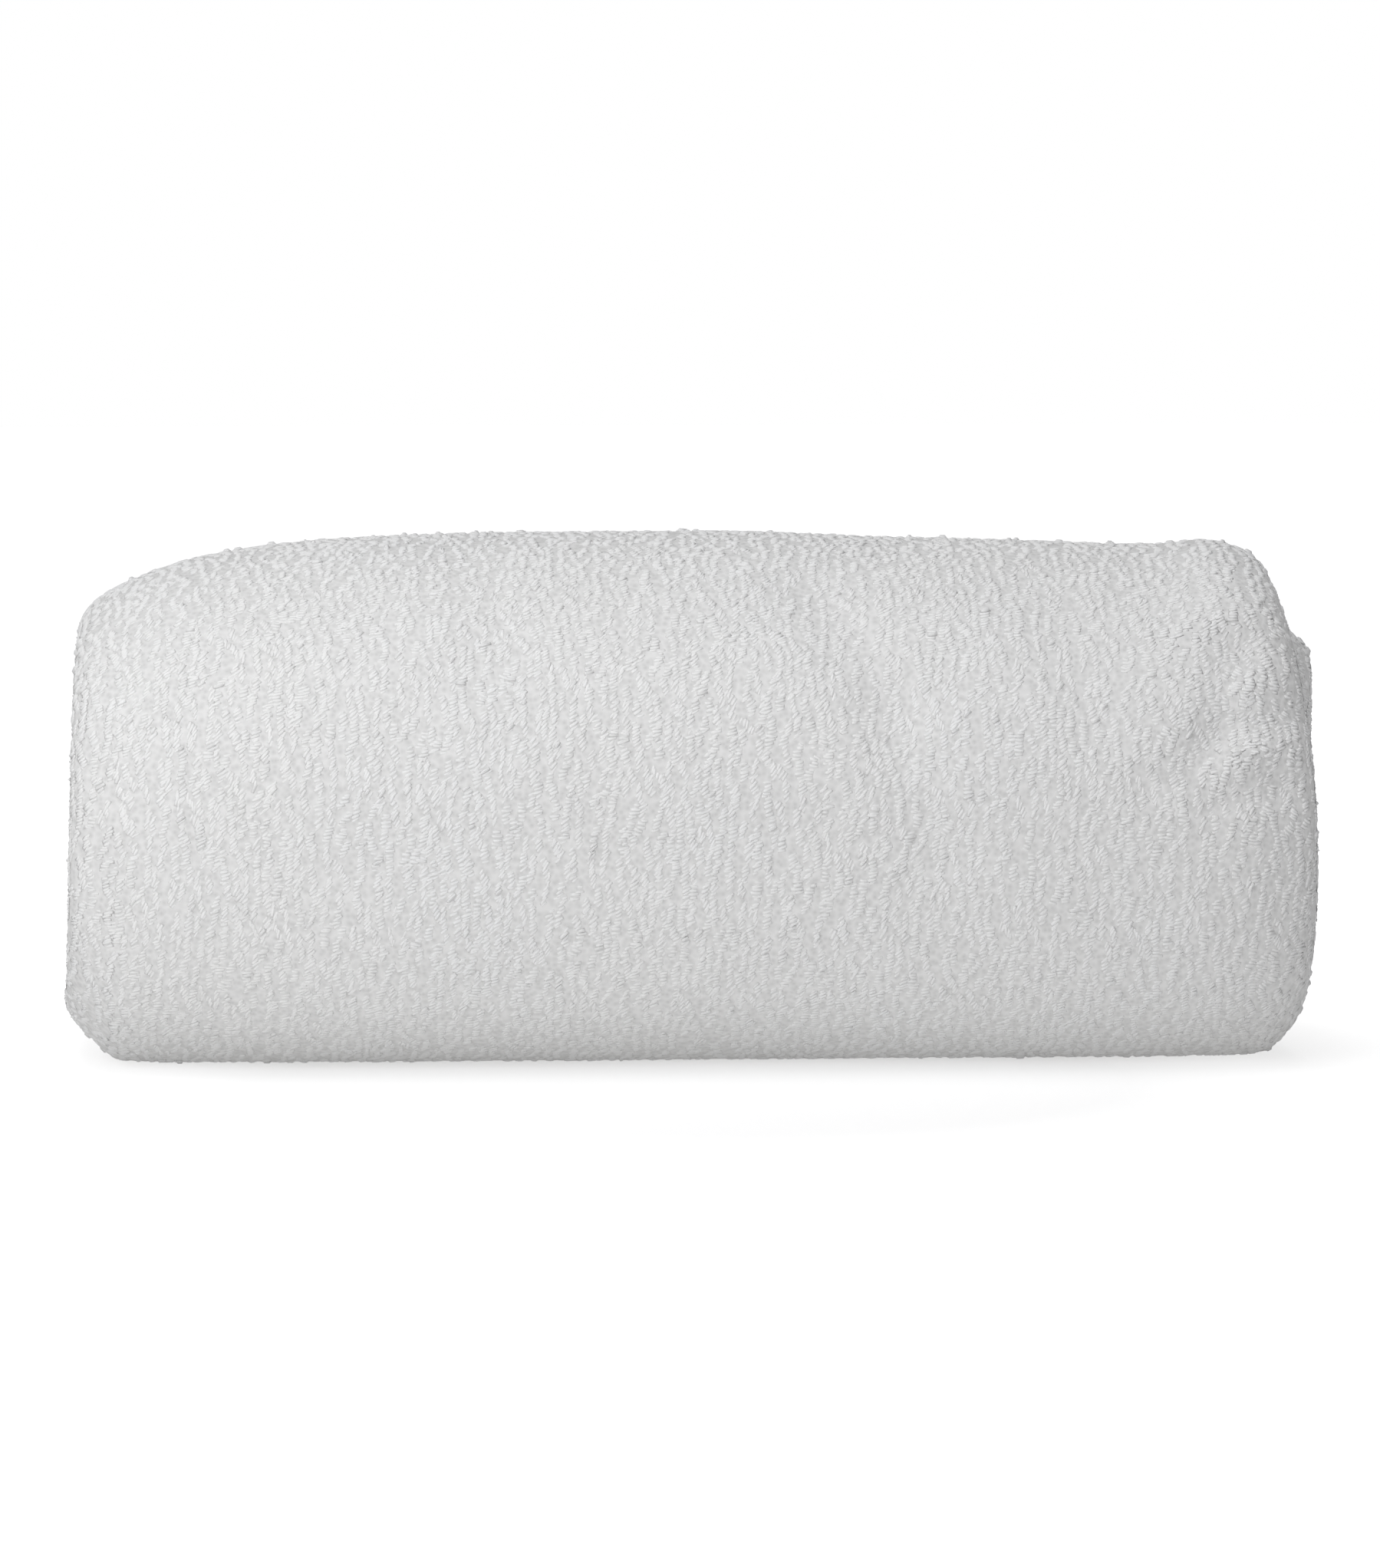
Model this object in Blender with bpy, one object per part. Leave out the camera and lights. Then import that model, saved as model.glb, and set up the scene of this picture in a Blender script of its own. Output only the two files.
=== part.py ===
"""Rolled bath towel, folded lengthwise and wound into one soft roll.

The towel is a single piece of terry cloth with its hems woven in. Its two long
sides are folded to the middle and the strip is rolled up, so both ends of the
roll show the rounded folds as one spiral ridge. The solid is the wound form: an
uneven skin, the spiral ridge on each end with the small eye that it leaves, and
the step where the loose end lies on the turn below it, low on the back.

Metres, +Z up, +X along the roll, -Y the front. The origin is on the surface
that the roll rests on, under the middle of its box.
"""

import math
from collections import namedtuple

import bmesh
import bpy

COLLECTION_NAME = "rolled_bath_towel"
ROLL_NAME = "towel_roll"

# How the doubled strip is wound. Turns are counted from the loose end inwards,
# and angles go from the back over the top and the front to the underside.
LOOSE_END_ANGLE = math.radians(-15)
LOOSE_END_SKEW = math.radians(14)
TURNS = 5.17
TURN_SHARE = 0.165
GROWTH_START = 0.75
GROWTH_SPAN = 0.42
GROWTH_MEAN = 0.43
EVEN_FROM_TURN = 1.2
EVEN_BY_TURN = 3.0
AXIS_Y = 0.0002

# The loose end is pressed thinner than the strip, and its edge is rounded.
LOOSE_END_PRESS = 0.0035
PRESS_TURNS = 0.11
LOOSE_END_NOSE = 0.003

# The rounded folds that stand as a ridge on each end.
FOLD_HEIGHT = 0.0062
FOLD_SHOULDER_DROP = 0.0018
FOLD_SHOULDER_SHARE = 0.2
EYE_DEPTH = 0.009

# How square the section is, above and below its middle; 2 is an ellipse.
TOP_SQUARENESS = 2.15
UNDER_SQUARENESS = 2.6

# Steps of the mesh around one turn, and along the skin.
STEPS_A_TURN = 60
SKIN_STEPS = 20

# The skin across the roll at places along it. An underside below zero is where
# the soft roll is pressed flat by the surface that carries it.
Section = namedtuple("Section", "x top under front back")
SECTIONS = (
    Section(x=-0.1765, top=0.1236, under=0.0110, front=0.0715, back=0.0710),
    Section(x=-0.1690, top=0.1286, under=0.0042, front=0.0752, back=0.0748),
    Section(x=-0.1620, top=0.1334, under=-0.0020, front=0.0788, back=0.0780),
    Section(x=-0.1500, top=0.1386, under=-0.0035, front=0.0816, back=0.0808),
    Section(x=-0.1350, top=0.1429, under=-0.0039, front=0.0830, back=0.0823),
    Section(x=-0.1100, top=0.1465, under=-0.0040, front=0.0840, back=0.0832),
    Section(x=-0.0700, top=0.1487, under=-0.0040, front=0.0844, back=0.0837),
    Section(x=-0.0200, top=0.1493, under=-0.0040, front=0.0844, back=0.0833),
    Section(x=0.0250, top=0.1494, under=-0.0040, front=0.0840, back=0.0828),
    Section(x=0.0600, top=0.1481, under=-0.0039, front=0.0835, back=0.0828),
    Section(x=0.1000, top=0.1463, under=-0.0038, front=0.0831, back=0.0830),
    Section(x=0.1350, top=0.1452, under=-0.0037, front=0.0827, back=0.0825),
    Section(x=0.1500, top=0.1464, under=-0.0035, front=0.0821, back=0.0818),
    Section(x=0.1580, top=0.1450, under=-0.0032, front=0.0808, back=0.0804),
    Section(x=0.1650, top=0.1413, under=-0.0022, front=0.0786, back=0.0782),
    Section(x=0.1710, top=0.1345, under=0.0024, front=0.0758, back=0.0755),
    Section(x=0.1765, top=0.1285, under=0.0080, front=0.0727, back=0.0725),
)

# Where the crown of the fold lies along the roll, one row for each turn.
FoldLine = namedtuple("FoldLine", "back top front under")
LEFT_FOLDS = (
    FoldLine(back=-0.1738, top=-0.1730, front=-0.1740, under=-0.1776),
    FoldLine(back=-0.1755, top=-0.1738, front=-0.1742, under=-0.1750),
    FoldLine(back=-0.1732, top=-0.1746, front=-0.1728, under=-0.1736),
    FoldLine(back=-0.1722, top=-0.1712, front=-0.1720, under=-0.1712),
    FoldLine(back=-0.1702, top=-0.1708, front=-0.1698, under=-0.1690),
    FoldLine(back=-0.1680, top=-0.1676, front=-0.1670, under=-0.1666),
)
RIGHT_FOLDS = (
    FoldLine(back=0.1742, top=0.1690, front=0.1754, under=0.1746),
    FoldLine(back=0.1750, top=0.1776, front=0.1748, under=0.1744),
    FoldLine(back=0.1738, top=0.1752, front=0.1746, under=0.1722),
    FoldLine(back=0.1726, top=0.1742, front=0.1730, under=0.1716),
    FoldLine(back=0.1716, top=0.1710, front=0.1702, under=0.1704),
    FoldLine(back=0.1692, top=0.1688, front=0.1680, under=0.1676),
)

# Broad dents where the cloth lies slack, and swells, which have a negative depth.
Dent = namedtuple("Dent", "x angle length spread depth")
DENTS = (
    Dent(x=0.048, angle=105, length=0.030, spread=34, depth=0.0011),
    Dent(x=0.126, angle=138, length=0.022, spread=24, depth=0.0012),
    Dent(x=0.092, angle=168, length=0.026, spread=20, depth=-0.0007),
    Dent(x=0.020, angle=226, length=0.034, spread=15, depth=0.0010),
    Dent(x=-0.076, angle=196, length=0.040, spread=20, depth=-0.0008),
    Dent(x=-0.142, angle=222, length=0.022, spread=18, depth=0.0012),
    Dent(x=-0.100, angle=128, length=0.024, spread=18, depth=0.0007),
    Dent(x=-0.030, angle=52, length=0.045, spread=20, depth=0.0012),
    Dent(x=0.110, angle=28, length=0.035, spread=18, depth=0.0010),
)

CLOTH_COLOR = (0.80, 0.80, 0.79, 1.0)
CLOTH_ROUGHNESS = 0.95


def ease(share):
    """Smooth rise from 0 to 1 as share goes from 0 to 1."""
    share = min(max(share, 0.0), 1.0)
    return share * share * (3.0 - 2.0 * share)


def smooth_value(places, values, place):
    """Cubic curve through the values, level beyond the first and last place."""
    if place <= places[0]:
        return values[0]
    if place >= places[-1]:
        return values[-1]
    last = len(places) - 1
    index = max(i for i in range(last) if places[i] <= place)

    def slope(i):
        before = max(i - 1, 0)
        after = min(i + 1, last)
        return (values[after] - values[before]) / (places[after] - places[before])

    width = places[index + 1] - places[index]
    share = (place - places[index]) / width
    rise = ease(share)
    leave = slope(index) * width * share * (1.0 - share) ** 2
    arrive = slope(index + 1) * width * share * share * (share - 1.0)
    return values[index] * (1.0 - rise) + values[index + 1] * rise + leave + arrive


def section_at(x):
    """The row of the section table that would stand at this place."""
    places = [row.x for row in SECTIONS]
    columns = list(zip(*SECTIONS))
    values = [smooth_value(places, column, x) for column in columns[1:]]
    return Section(x, *values)


def dent_at(x, angle):
    """How far the cloth is sunk here, from all the dents together."""
    sunk = 0.0
    for dent in DENTS:
        turned = math.degrees(angle) - dent.angle
        turned = (turned + 180.0) % 360.0 - 180.0
        away = ((x - dent.x) / dent.length) ** 2 + (turned / dent.spread) ** 2
        sunk += dent.depth * math.exp(-away)
    return sunk


def outline_radius(section, angle):
    """Distance from the roll's middle to its skin, at an angle from the back."""
    middle = (section.top + section.under) / 2.0
    across = section.back if math.cos(angle) >= 0.0 else section.front
    squareness = TOP_SQUARENESS if math.sin(angle) >= 0.0 else UNDER_SQUARENESS
    side = abs(math.cos(angle) / across) ** squareness
    rise = abs(math.sin(angle) / (section.top - middle)) ** squareness
    return (side + rise) ** (-1.0 / squareness) - dent_at(section.x, angle)


def turn_radius_share(turn):
    """Share of the outline's radius that is left after this many turns."""
    since = turn - GROWTH_START
    whole = math.floor(since)
    stepped = whole + ease((since - whole) / GROWTH_SPAN)
    even = turn - GROWTH_MEAN
    fade = ease((turn - EVEN_FROM_TURN) / (EVEN_BY_TURN - EVEN_FROM_TURN))
    return 1.0 - TURN_SHARE * (stepped + (even - stepped) * fade)


def roll_point(turn, x, depth_share=0.0, nose=0.0):
    """A point in the roll: a turn's outer side, or a share into its thickness."""
    section = section_at(x)
    angle = LOOSE_END_ANGLE + LOOSE_END_SKEW * x + 2.0 * math.pi * turn
    outer = turn_radius_share(turn)
    inner = turn_radius_share(turn + 1.0)
    radius = outline_radius(section, angle) * (outer + (inner - outer) * depth_share)
    pressed = LOOSE_END_PRESS * (1.0 - ease(turn / PRESS_TURNS))
    radius -= pressed * (1.0 - depth_share)
    angle -= nose / radius
    middle = (section.top + section.under) / 2.0
    y = AXIS_Y + radius * math.cos(angle)
    z = max(middle + radius * math.sin(angle), 0.0)
    return (x, y, z)


def fold_crown(folds, turn):
    """Where the crown of the fold lies along the roll, at this many turns."""
    values = [value for row in folds for value in row]
    first = -LOOSE_END_ANGLE / (2.0 * math.pi)
    places = [first + index / 4.0 for index in range(len(values))]
    return smooth_value(places, values, turn)


def groove_place(folds, side, turn):
    """Where the groove outside this turn lies along the roll."""
    reach = side * fold_crown(folds, turn)
    if turn > 1.0:
        reach = min(reach, side * fold_crown(folds, turn - 1.0))
    return side * (reach - FOLD_HEIGHT)


def add_skin(mesh):
    """Rings along the roll: one turn of skin, then the step of the loose end."""
    rings = []
    step_shares = (FOLD_SHOULDER_SHARE, 0.5, 1.0 - FOLD_SHOULDER_SHARE)
    for step in range(SKIN_STEPS + 1):
        share = (1.0 - math.cos(math.pi * step / SKIN_STEPS)) / 2.0
        share = 0.55 * share + 0.45 * step / SKIN_STEPS
        ring = []
        for index in range(STEPS_A_TURN + 1):
            turn = index / STEPS_A_TURN
            left = groove_place(LEFT_FOLDS, -1.0, turn)
            right = groove_place(RIGHT_FOLDS, 1.0, turn)
            ring.append(mesh.verts.new(roll_point(turn, left + (right - left) * share)))
        left = groove_place(LEFT_FOLDS, -1.0, 0.0)
        right = groove_place(RIGHT_FOLDS, 1.0, 0.0)
        x = left + (right - left) * share
        for depth in reversed(step_shares):
            nose = LOOSE_END_NOSE * math.sin(math.pi * depth)
            ring.append(mesh.verts.new(roll_point(0.0, x, depth, nose)))
        rings.append(ring)
    for first, second in zip(rings, rings[1:]):
        for index in range(len(first)):
            following = (index + 1) % len(first)
            corners = (first[index], first[following], second[following], second[index])
            mesh.faces.new(corners)
    return rings


def add_end(mesh, ring, folds, side):
    """The spiral ridge of folds on one end, its eye and its start."""
    last = round(TURNS * STEPS_A_TURN)
    groove = list(ring[:STEPS_A_TURN + 1])
    for index in range(STEPS_A_TURN + 1, last + STEPS_A_TURN + 1):
        turn = index / STEPS_A_TURN
        groove.append(mesh.verts.new(roll_point(turn, groove_place(folds, side, turn))))
    profile = (
        (FOLD_SHOULDER_SHARE, FOLD_SHOULDER_DROP),
        (0.5, 0.0),
        (1.0 - FOLD_SHOULDER_SHARE, FOLD_SHOULDER_DROP),
    )
    ridge = []
    for depth, drop in profile:
        line = []
        for index in range(last + 1):
            turn = index / STEPS_A_TURN
            x = fold_crown(folds, turn) - side * drop
            line.append(mesh.verts.new(roll_point(turn, x, depth)))
        ridge.append(line)
    lines = [groove] + ridge + [groove[STEPS_A_TURN:]]
    for outer, inner in zip(lines, lines[1:]):
        for index in range(last):
            mesh.faces.new((outer[index], outer[index + 1], inner[index + 1], inner[index]))
    start = [groove[0]] + [line[0] for line in ridge] + [groove[STEPS_A_TURN]]
    step = [ring[0]] + list(reversed(ring[STEPS_A_TURN + 1:])) + [ring[STEPS_A_TURN]]
    mesh.faces.new((start[0], start[1], step[1]))
    mesh.faces.new((start[1], start[2], step[2], step[1]))
    mesh.faces.new((start[2], start[3], step[3], step[2]))
    mesh.faces.new((start[3], start[4], step[3]))
    eye = groove[last:] + [line[last] for line in reversed(ridge)]
    middle_x = fold_crown(folds, TURNS) - side * (FOLD_HEIGHT + EYE_DEPTH)
    section = section_at(middle_x)
    middle_z = (section.top + section.under) / 2.0
    middle = mesh.verts.new((middle_x, AXIS_Y, middle_z))
    for index, corner in enumerate(eye):
        mesh.faces.new((corner, eye[(index + 1) % len(eye)], middle))


def cloth_material():
    """White cotton terry."""
    material = bpy.data.materials.new("terry_cloth")
    material.use_nodes = True
    shader = material.node_tree.nodes["Principled BSDF"]
    shader.inputs["Base Color"].default_value = CLOTH_COLOR
    shader.inputs["Roughness"].default_value = CLOTH_ROUGHNESS
    shader.inputs["Metallic"].default_value = 0.0
    return material


def add_roll(collection):
    """The whole wound towel as one closed solid."""
    mesh = bmesh.new()
    rings = add_skin(mesh)
    add_end(mesh, rings[0], LEFT_FOLDS, -1.0)
    add_end(mesh, rings[-1], RIGHT_FOLDS, 1.0)
    bmesh.ops.triangulate(mesh, faces=mesh.faces[:])
    bmesh.ops.recalc_face_normals(mesh, faces=mesh.faces[:])
    data = bpy.data.meshes.new(ROLL_NAME)
    mesh.to_mesh(data)
    mesh.free()
    data.materials.append(cloth_material())
    data.shade_smooth()
    data.set_sharp_from_angle(angle=math.radians(60))
    roll = bpy.data.objects.new(ROLL_NAME, data)
    collection.objects.link(roll)
    return roll


def main():
    """Clear the scene and build the towel."""
    for old in list(bpy.data.objects):
        bpy.data.objects.remove(old, do_unlink=True)
    collection = bpy.data.collections.new(COLLECTION_NAME)
    bpy.context.scene.collection.children.link(collection)
    add_roll(collection)


main()
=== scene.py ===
import math

import bpy
import numpy as np
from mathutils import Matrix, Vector


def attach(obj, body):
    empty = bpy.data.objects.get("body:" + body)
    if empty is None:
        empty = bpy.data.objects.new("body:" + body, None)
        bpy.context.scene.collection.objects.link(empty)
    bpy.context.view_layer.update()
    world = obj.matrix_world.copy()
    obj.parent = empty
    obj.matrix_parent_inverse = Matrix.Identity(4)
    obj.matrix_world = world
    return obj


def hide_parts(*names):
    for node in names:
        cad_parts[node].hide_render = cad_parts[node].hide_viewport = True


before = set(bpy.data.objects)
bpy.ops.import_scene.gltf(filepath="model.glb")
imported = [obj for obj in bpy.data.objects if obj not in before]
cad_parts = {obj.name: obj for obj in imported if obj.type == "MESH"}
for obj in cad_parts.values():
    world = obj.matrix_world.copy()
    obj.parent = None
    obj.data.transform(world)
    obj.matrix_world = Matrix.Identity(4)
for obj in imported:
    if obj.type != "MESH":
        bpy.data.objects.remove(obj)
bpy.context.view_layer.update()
print("frame loaded")

# A plush white bath towel: both long sides folded to the middle, then rolled up.
# Metres, Z up, X along the roll, -Y the front. Angles go from the back over the top
# to the front and under. Turns are counted from the loose end inwards.

roll = {
    "startAngle": math.radians(-15),   # where the loose end lies
    "startSkew": math.radians(14),     # how it slants, a metre of x
    "turns": 5.17,
    "turnShare": 0.165,                # thickness of a doubled turn, as a share of the radius
    "growthStart": 0.75,               # turn at which the strip starts to climb over the loose end
    "growthSpan": 0.42,                # turns that the climb takes
    "growthMean": 0.43,                # turn at which the even spiral inside would start
    "evenFromTurn": 1.2,               # the climbs fade out into it from here
    "evenByTurn": 3.0,
    "axisY": 0.0002,
    "middleHeight": 0.0727,
    "press": 0.0035,                   # the loose end is pressed this much thinner
    "pressTurns": 0.11,
    "topSquareness": 2.15,             # 2 is an ellipse
    "underSquareness": 2.6,
    "restHeight": 0.0002,              # lowest height of the cloth itself
    "noFloor": -1.0,                   # a height that nothing reaches
    "skinRadius": 0.081,               # of the skin that is laid flat for the creases
    "creasedTurns": 0.95,              # the creases fade out from here
    "creaseFade": 0.1,
    "pathPoints": 4001,
}

sections = np.array([                  # x, top, under, front, back
    (-0.1765, 0.1236, 0.0110, 0.0715, 0.0710),
    (-0.1690, 0.1286, 0.0042, 0.0752, 0.0748),
    (-0.1620, 0.1334, -0.0020, 0.0788, 0.0780),
    (-0.1500, 0.1386, -0.0035, 0.0816, 0.0808),
    (-0.1350, 0.1429, -0.0039, 0.0830, 0.0823),
    (-0.1100, 0.1465, -0.0040, 0.0840, 0.0832),
    (-0.0700, 0.1487, -0.0040, 0.0844, 0.0837),
    (-0.0200, 0.1493, -0.0040, 0.0844, 0.0833),
    (0.0250, 0.1494, -0.0040, 0.0840, 0.0828),
    (0.0600, 0.1481, -0.0039, 0.0835, 0.0828),
    (0.1000, 0.1463, -0.0038, 0.0831, 0.0830),
    (0.1350, 0.1452, -0.0037, 0.0823, 0.0825),
    (0.1500, 0.1464, -0.0035, 0.0808, 0.0818),
    (0.1580, 0.1450, -0.0032, 0.0785, 0.0804),
    (0.1650, 0.1413, -0.0022, 0.0752, 0.0782),
    (0.1710, 0.1345, 0.0024, 0.0716, 0.0755),
    (0.1765, 0.1285, 0.0080, 0.0680, 0.0725),
])

leftFolds = np.array([                 # x of the crowns at back, top, front, under; one row a turn
    (-0.1738, -0.1730, -0.1751, -0.1776),
    (-0.1755, -0.1742, -0.1742, -0.1750),
    (-0.1732, -0.1746, -0.1728, -0.1736),
    (-0.1722, -0.1712, -0.1720, -0.1712),
    (-0.1702, -0.1708, -0.1698, -0.1690),
    (-0.1680, -0.1676, -0.1670, -0.1666),
])

rightFolds = np.array([                # the same
    (0.1742, 0.1690, 0.1764, 0.1750),
    (0.1750, 0.1804, 0.1746, 0.1744),
    (0.1738, 0.1752, 0.1746, 0.1722),
    (0.1726, 0.1742, 0.1730, 0.1716),
    (0.1716, 0.1710, 0.1702, 0.1704),
    (0.1692, 0.1688, 0.1680, 0.1676),
])

dents = (                              # x, angle, length, spread, depth; swells are negative
    (0.048, 105, 0.030, 34, 0.0011),
    (0.126, 138, 0.022, 24, 0.0012),
    (0.092, 168, 0.026, 20, -0.0007),
    (0.020, 226, 0.034, 15, 0.0010),
    (-0.076, 196, 0.040, 20, -0.0008),
    (-0.142, 222, 0.022, 18, 0.0012),
    (-0.100, 128, 0.024, 18, 0.0007),
    (-0.030, 52, 0.045, 20, 0.0012),
    (0.110, 28, 0.035, 18, 0.0010),
)

creases = (                            # x and angle of both ends, width, depth; ridges are negative
    (0.078, 184, 0.101, 187, 0.0058, 0.0006),
    (-0.114, 188, -0.091, 190, 0.0058, 0.0005),
    (0.024, 183, 0.042, 184, 0.0058, 0.0005),
    (0.058, 196, 0.080, 199, 0.0058, 0.0006),
    (0.112, 194, 0.131, 197, 0.0058, 0.0007),
    (-0.082, 214, -0.054, 216, 0.0058, 0.0005),
    (0.153, 143, 0.142, 165, 0.0070, 0.0030),
    (0.170, 153, 0.150, 161, 0.0064, 0.0036),
    (0.127, 172, 0.138, 170, 0.0058, 0.0016),
    (0.146, 176, 0.162, 171, 0.0062, 0.0026),
    (0.136, 140, 0.160, 132, 0.0070, -0.0016),
    (0.150, 169, 0.166, 163, 0.0054, -0.0012),
    (0.034, 128, 0.056, 158, 0.0110, 0.0022),
    (0.056, 158, 0.068, 186, 0.0110, 0.0020),
    (-0.060, 118, -0.052, 146, 0.0120, 0.0011),
    (0.100, 128, 0.112, 160, 0.0110, 0.0012),
    (-0.020, 40, 0.018, 44, 0.0056, 0.0009),
    (0.070, 66, 0.118, 58, 0.0060, 0.0010),
    (-0.128, 70, -0.088, 60, 0.0060, 0.0009),
    (-0.090, 12, -0.058, 16, 0.0050, 0.0009),
    (0.030, 10, 0.064, 7, 0.0050, 0.0009),
)

cloth = {
    "width": 0.70,
    "length": 1.40,
    "panelDepths": (0.29, 0.73),       # middle of the two layers, as shares of the doubled turn
    "halfThickness": 0.18,             # the same share
    "foldReach": 0.0028,               # how far the middle of the cloth bulges past the fold's start
    "foldHalfThickness": 0.0022,
    "pileAllowance": 0.0014,           # room for the loops outside the cloth
    "selvedgeGap": 0.0018,             # from the middle of the roll to each selvedge
    "selvedgeNose": 3.005,             # place across of the rounded selvedge, which is just past 3
    "hemWidth": 0.014,
    "hemThinness": 0.55,
    "hemRise": 0.004,                  # where the hem meets the loops
    "noseTurns": 0.0026,               # the rounded edge of the hem, in turns
    "noseLength": 0.002,               # and in the weave's metres
    "panelSteps": 116,
    "foldSteps": 9,
    "hiddenSteps": 6,
    "hemPoints": 7,
    "firstTurnEnd": 1.1,               # the turn that shows has the finer grid
    "firstTurnPoints": 168,
    "turnPoints": 32,                  # on each turn inside it
    "lastHemPoints": 5,
    "pictureMargin": 0.002,
}


# s * s * (3 - 2 s), held between 0 and 1
def ease(share):
    held = np.clip(share, 0.0, 1.0)
    return held * held * (3.0 - 2.0 * held)


# straight line from one value to another by a share
def between(first, second, share):
    return first + (second - first) * share


# cubic through the values; each slope is the rise over both neighbours, level past the ends
def smoothValue(places, values, place):
    slopes = np.empty(len(values))
    slopes[1:-1] = (values[2:] - values[:-2]) / (places[2:] - places[:-2])
    slopes[0] = (values[1] - values[0]) / (places[1] - places[0])
    slopes[-1] = (values[-1] - values[-2]) / (places[-1] - places[-2])
    held = np.clip(place, places[0], places[-1])
    index = np.clip(np.searchsorted(places, held, side="right") - 1, 0, len(places) - 2)
    width = places[index + 1] - places[index]
    share = (held - places[index]) / width
    leave = slopes[index] * width * share * (1.0 - share) ** 2
    arrive = slopes[index + 1] * width * share * share * (share - 1.0)
    return between(values[index], values[index + 1], ease(share)) + leave + arrive


# sum of each dent's depth times exp(-(x away / length)^2 - (degrees away / spread)^2)
def dentAt(x, angle):
    sunk = 0.0
    for dentX, dentAngle, length, spread, depth in dents:
        turned = (np.degrees(angle) - dentAngle + 180.0) % 360.0 - 180.0
        sunk = sunk + depth * np.exp(-((x - dentX) / length) ** 2 - (turned / spread) ** 2)
    return sunk


# sum of each crease's depth times exp(-(distance to its line / width)^2), on the skin laid flat
def creaseAt(x, angle):
    skinRadius = roll["skinRadius"]
    around = skinRadius * np.mod(angle, 2.0 * math.pi)
    sunk = 0.0
    for x0, angle0, x1, angle1, width, depth in creases:
        start = np.array((x0, skinRadius * math.radians(angle0)))
        run = np.array((x1, skinRadius * math.radians(angle1))) - start
        along = ((x - start[0]) * run[0] + (around - start[1]) * run[1]) / (run @ run)
        along = np.clip(along, 0.0, 1.0)
        away2 = (x - start[0] - along * run[0]) ** 2 + (around - start[1] - along * run[1]) ** 2
        sunk = sunk + depth * np.exp(-away2 / width ** 2)
    return sunk


# (|cos / across| ^ p + |sin / rise| ^ p) ^ (-1 / p), less the dents, and the middle's height
def outlineRadius(x, angle):
    top, under, front, back = (smoothValue(sections[:, 0], sections[:, k], x) for k in (1, 2, 3, 4))
    across = np.where(np.cos(angle) >= 0.0, back, front)
    power = np.where(np.sin(angle) >= 0.0, roll["topSquareness"], roll["underSquareness"])
    side = np.abs(np.cos(angle) / across) ** power
    rise = np.abs(np.sin(angle) / ((top - under) / 2.0)) ** power
    return (side + rise) ** (-1.0 / power) - dentAt(x, angle), (top + under) / 2.0


# 1 less a turn's share for each turn: a step where the strip climbs over the loose end, even inside
def turnRadiusShare(turn):
    since = turn - roll["growthStart"]
    whole = np.floor(since)
    stepped = whole + ease((since - whole) / roll["growthSpan"])
    fade = ease((turn - roll["evenFromTurn"]) / (roll["evenByTurn"] - roll["evenFromTurn"]))
    return 1.0 - roll["turnShare"] * between(stepped, turn - roll["growthMean"], fade)


# polar point round the roll's middle, held above the floor, and its height before that; the
# depth runs from this turn's outside to the next turn's
def rollPoint(turn, x, depth, floorHeight):
    angle = roll["startAngle"] + roll["startSkew"] * x + 2.0 * math.pi * turn
    share = between(turnRadiusShare(turn), turnRadiusShare(turn + 1.0), depth)
    outline, middle = outlineRadius(x, angle)
    pressed = roll["press"] * (1.0 - ease(turn / roll["pressTurns"]))
    unfaded = 1.0 - ease((turn - roll["creasedTurns"]) / roll["creaseFade"])
    creased = creaseAt(x, angle) * unfaded
    radius = outline * share - (pressed + creased) * (1.0 - depth)
    y = roll["axisY"] + radius * np.cos(angle)
    z = middle + radius * np.sin(angle)
    return np.stack([x, y, np.maximum(z, floorHeight)], axis=-1), z


# crown of the folds at a turn: the cubic through the table's quarter turns
def foldCrown(folds, turn):
    values = folds.ravel()
    places = -roll["startAngle"] / (2.0 * math.pi) + np.arange(len(values)) / 4.0
    return smoothValue(places, values, turn)


# where the rounds of the folds start along the roll, left and right, at a turn
def foldStarts(turn):
    inset = cloth["pileAllowance"] + cloth["foldReach"] + cloth["foldHalfThickness"]
    return foldCrown(leftFolds, turn) + inset, foldCrown(rightFolds, turn) - inset


# metres of towel rolled by each turn, summed along the middle of the doubled strip at x = 0
turnTable = np.linspace(0.0, roll["turns"], roll["pathPoints"])
middlePath = rollPoint(turnTable, np.zeros(roll["pathPoints"]), 0.5, roll["restHeight"])[0]
pathSteps = np.linalg.norm(np.diff(middlePath, axis=0), axis=1)
lengthTable = np.concatenate([[0.0], np.cumsum(pathSteps)])
print("length of the rolled cloth", round(float(lengthTable[-1]), 3))


# share of the full thickness: the hem's own on the hems, 1 on the loops, eased between
def hemShare(turn):
    place = np.interp(turn, turnTable, lengthTable)
    inside = np.minimum(place, lengthTable[-1] - place) - cloth["hemWidth"]
    return between(cloth["hemThinness"], 1.0, ease(inside / cloth["hemRise"] + 0.5))


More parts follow.
